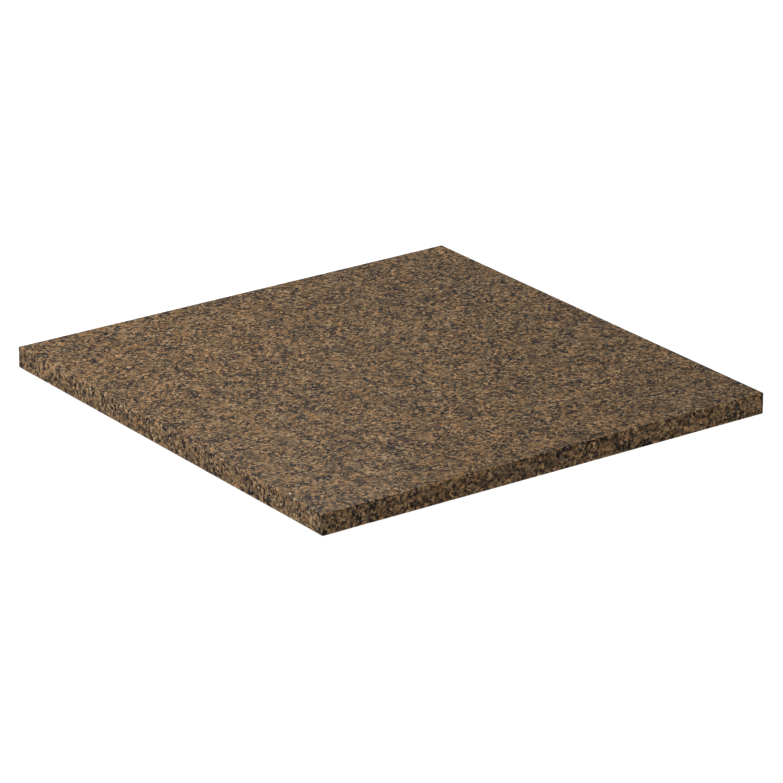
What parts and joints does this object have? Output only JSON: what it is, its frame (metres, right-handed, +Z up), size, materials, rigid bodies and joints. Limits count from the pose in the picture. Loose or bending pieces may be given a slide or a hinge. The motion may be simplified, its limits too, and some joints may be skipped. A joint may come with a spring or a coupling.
{
  "type": "granite slab",
  "caption": "Square granite plate for stamping and tooling leather on, with sawn edges and low stick-on rubber feet.",
  "frame": {"origin": "on the bench, under the middle of the slab, level with the bases of the feet", "axes": "+Z up out of the working face, +X along one edge to the right, +Y along the other edge to the rear"},
  "size_m": [0.3048, 0.3048, 0.0152],
  "materials": {
    "granite": "satin",
    "rubber": "matte",
    "foam_tape": "matte"
  },
  "bodies": {
    "root": {"granite_slab": "granite", "foot_front_left": "rubber", "foot_front_right": "rubber", "foot_rear_left": "rubber", "foot_rear_right": "rubber", "tape_disc_front_left": "foam_tape", "tape_disc_front_right": "foam_tape", "tape_disc_rear_left": "foam_tape", "tape_disc_rear_right": "foam_tape"}
  },
  "joints": []
}
